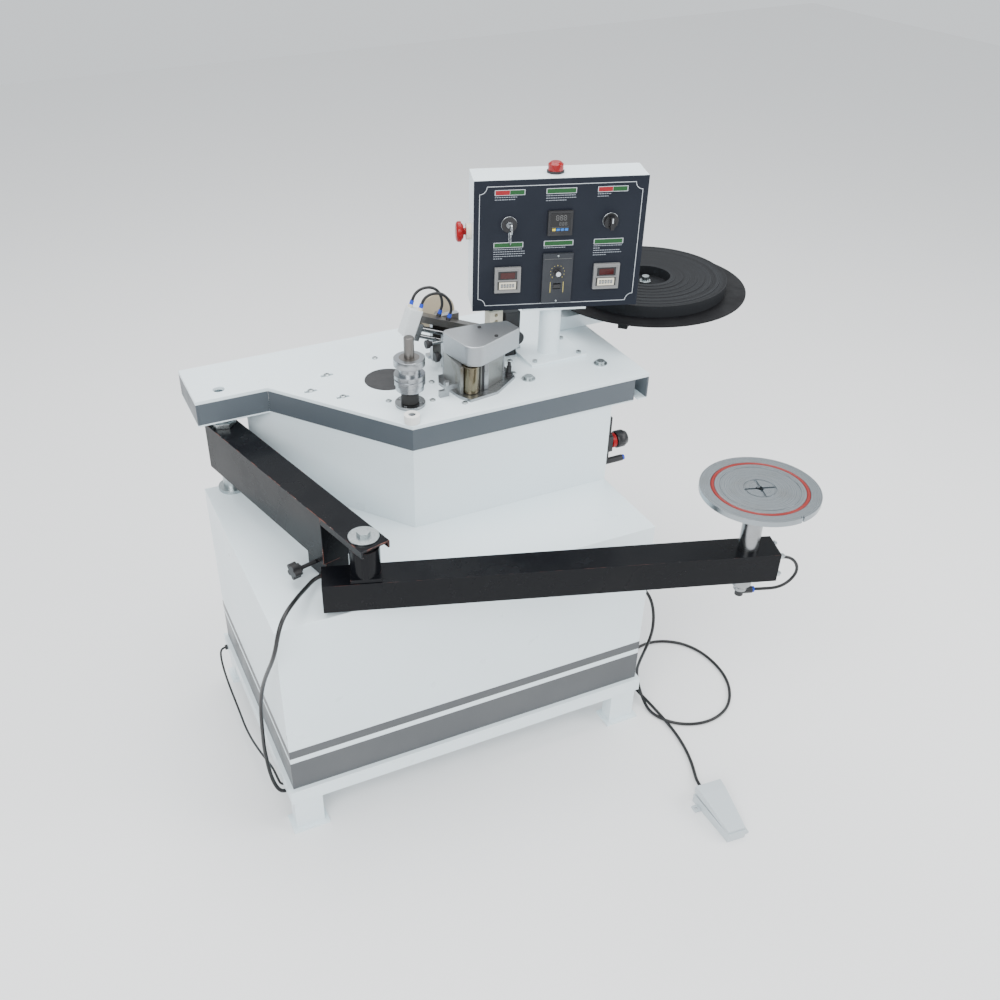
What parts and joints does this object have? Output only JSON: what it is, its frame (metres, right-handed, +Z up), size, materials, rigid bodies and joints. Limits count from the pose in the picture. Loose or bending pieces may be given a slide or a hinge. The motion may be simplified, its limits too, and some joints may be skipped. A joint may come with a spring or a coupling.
{
  "type": "edge banding machine",
  "caption": "Curve edge banding machine: cabinet with table, glue head, end cutter, tape reel, swivelling control box and two folding arms with a vacuum disc.",
  "frame": {"origin": "on the floor under the centre of the base frame, at the middle of the four foot-plate holes", "axes": "+X to the right along the cabinet's front, +Y to the back, +Z up"},
  "size_m": [1.299, 1.0843, 1.169],
  "materials": {
    "white_paint": "smooth white powder coat",
    "light_paint": "light grey enamel",
    "black_gloss": "gloss black enamel with worn edges",
    "black_plastic": "moulded black plastic",
    "zinc_steel": "zinc-plated steel",
    "turned_steel": "turned steel with fine machining marks",
    "cast_metal": "machined cast block with brown glue film",
    "cast_aluminium": "satin cast aluminium",
    "valve_cream": "cream moulded valve block",
    "motor_paint": "grey enamel on a cast motor",
    "pump_iron": "blue enamel on cast iron",
    "drive_rubber": "black rubber",
    "hose_black": "smooth black jacket",
    "pedal_grey": "light grey-blue enamel on a casting",
    "seal_red": "red silicone rubber",
    "panel_navy": "dark printed panel foil",
    "chrome_metal": "bright plated steel",
    "stop_red": "glossy red plastic",
    "brass_roller": "brass with a brown glue film",
    "nylon_white": "turned white nylon",
    "reel_black": "dark grey board",
    "edge_tape": "wound dark grey edge tape"
  },
  "bodies": {
    "machine": {"base_frame": "white_paint", "lower_cabinet": "white_paint", "rear_cover": "white_paint", "upper_cabinet": "white_paint", "table_top": "white_paint", "table_skirt": "white_paint", "table_hole_cover": "black_plastic", "machine_screws": "zinc_steel", "shoulder_shaft": "zinc_steel", "control_post": "white_paint", "roller_mounts": "turned_steel", "glue_base_plate": "zinc_steel", "glue_pot": "cast_metal", "glue_head_cover": "cast_aluminium", "guide_bar": "cast_aluminium", "cutter_housing": "light_paint", "cutter_hoses": "hose_black", "air_valves": "valve_cream", "drive_motor": "motor_paint", "drive_belt": "drive_rubber", "vacuum_pump": "pump_iron", "switchgear": "black_plastic", "reel_arm": "white_paint", "regulator_body": "black_plastic", "cable_fittings": "black_plastic", "pedal_base": "pedal_grey", "pedal_cable": "hose_black", "vacuum_hose": "hose_black", "air_hose": "hose_black"},
    "lower_arm": {"lower_arm_tube": "black_gloss", "elbow_pin": "zinc_steel", "elbow_lock_bracket": "black_gloss"},
    "elbow_lock_knob": {"elbow_lock_knob": "black_plastic"},
    "upper_arm": {"upper_arm_tube": "black_gloss", "end_plate_bolts": "zinc_steel", "suction_post": "turned_steel", "suction_loop_hose": "hose_black"},
    "suction_disc": {"suction_disc": "turned_steel", "disc_seal": "seal_red"},
    "control_box": {"control_box_shell": "white_paint", "front_panel": "panel_navy", "panel_meters": "black_plastic", "speed_controller": "black_plastic", "switch_bodies": "black_plastic"},
    "key": {"key": "chrome_metal"},
    "selector_knob": {"selector_knob": "black_plastic"},
    "speed_dial": {"speed_dial": "black_plastic"},
    "rocker_switch": {"rocker_switch": "black_plastic"},
    "stop_button": {"stop_button": "stop_red"},
    "feed_roller": {"feed_roller": "turned_steel", "feed_rubber": "drive_rubber"},
    "glue_roller": {"glue_roller": "brass_roller"},
    "nose_wheel": {"nose_wheel": "nylon_white"},
    "cutter_carriage": {"cutter_carriage": "turned_steel"},
    "depth_knob": {"depth_knob": "black_plastic"},
    "pressure_knob": {"pressure_knob": "black_plastic"},
    "reel": {"reel_disc": "reel_black", "tape_coil": "edge_tape"},
    "regulator_knob": {"regulator_knob": "black_plastic"},
    "pedal_treadle": {"pedal_treadle": "pedal_grey"}
  },
  "joints": [
    {"name": "shoulder_swing", "type": "hinge", "parent": "machine", "child": "lower_arm", "pos_m": [-0.343, 0.239, 0.6375], "axis": [0, 0, 1], "range_deg": [-70, 8], "deforming": ["vacuum_hose"]},
    {"name": "elbow_lock_turn", "type": "hinge", "parent": "lower_arm", "child": "elbow_lock_knob", "pos_m": [-0.25213, -0.12276, 0.567], "axis": [0.9699, 0.2436, 0], "continuous": true},
    {"name": "elbow_swing", "type": "hinge", "parent": "lower_arm", "child": "upper_arm", "pos_m": [-0.21924, -0.25369, 0.62], "axis": [0, 0, 1], "range_deg": [-150, 14]},
    {"name": "suction_disc_spin", "type": "hinge", "parent": "upper_arm", "child": "suction_disc", "pos_m": [0.45201, -0.46921, 0.7], "axis": [0, 0, 1], "continuous": true},
    {"name": "control_box_swivel", "type": "hinge", "parent": "machine", "child": "control_box", "pos_m": [0.339, 0.108, 0.95], "axis": [0, 0, 1], "range_deg": [-25, 45]},
    {"name": "key_turn", "type": "hinge", "parent": "control_box", "child": "key", "pos_m": [0.23207, 0.10109, 1.065], "axis": [0.3223, 0.9466, 0], "range_deg": [0, 90]},
    {"name": "selector_turn", "type": "hinge", "parent": "control_box", "child": "selector_knob", "pos_m": [0.41951, 0.03728, 1.065], "axis": [0.3223, 0.9466, 0], "range_deg": [-45, 45]},
    {"name": "speed_dial_turn", "type": "hinge", "parent": "control_box", "child": "speed_dial", "pos_m": [0.32353, 0.06256, 0.967], "axis": [0.3223, 0.9466, 0], "range_deg": [-135, 135]},
    {"name": "rocker_tilt", "type": "hinge", "parent": "control_box", "child": "rocker_switch", "pos_m": [0.3245, 0.0654, 0.938], "axis": [0.9466, -0.3223, 0], "range_deg": [-10, 10]},
    {"name": "stop_press", "type": "slide", "parent": "control_box", "child": "stop_button", "axis": [0.9466, -0.3223, 0], "range_m": [0, 0.005], "stiffness_N_per_m": 1500},
    {"name": "feed_roller_spin", "type": "hinge", "parent": "machine", "child": "feed_roller", "pos_m": [-0.015, 0.02, 0.8], "axis": [0, 0, 1], "continuous": true},
    {"name": "glue_roller_spin", "type": "hinge", "parent": "machine", "child": "glue_roller", "pos_m": [0.111, 0.009, 0.8], "axis": [0, 0, 1], "continuous": true},
    {"name": "nose_wheel_spin", "type": "hinge", "parent": "machine", "child": "nose_wheel", "pos_m": [-0.039, -0.047, 0.78], "axis": [0, 0, 1], "continuous": true},
    {"name": "cutter_slide", "type": "slide", "parent": "machine", "child": "cutter_carriage", "axis": [0.9336, 0, -0.3584], "range_m": [0, 0.025]},
    {"name": "depth_knob_turn", "type": "hinge", "parent": "machine", "child": "depth_knob", "pos_m": [0.08, 0.136, 0.83], "axis": [1, 0, 0], "continuous": true},
    {"name": "pressure_knob_turn", "type": "hinge", "parent": "machine", "child": "pressure_knob", "pos_m": [0.1, 0.136, 0.798], "axis": [1, 0, 0], "continuous": true},
    {"name": "reel_spin", "type": "hinge", "parent": "machine", "child": "reel", "pos_m": [0.64, 0.212, 0.83], "axis": [0, 0, 1], "continuous": true},
    {"name": "regulator_knob_turn", "type": "hinge", "parent": "machine", "child": "regulator_knob", "pos_m": [0.43, -0.043, 0.615], "axis": [1, 0, 0], "continuous": true},
    {"name": "pedal_press", "type": "hinge", "parent": "machine", "child": "pedal_treadle", "pos_m": [0.40872, -0.63689, 0.015], "axis": [0.9976, -0.0698, 0], "range_deg": [-4, 0], "stiffness_Nm_per_rad": 3, "springref_deg": 5.73}
  ],
  "couplings": [
    {"joint": "glue_roller_spin", "follows": "feed_roller_spin", "ratio": 1}
  ]
}
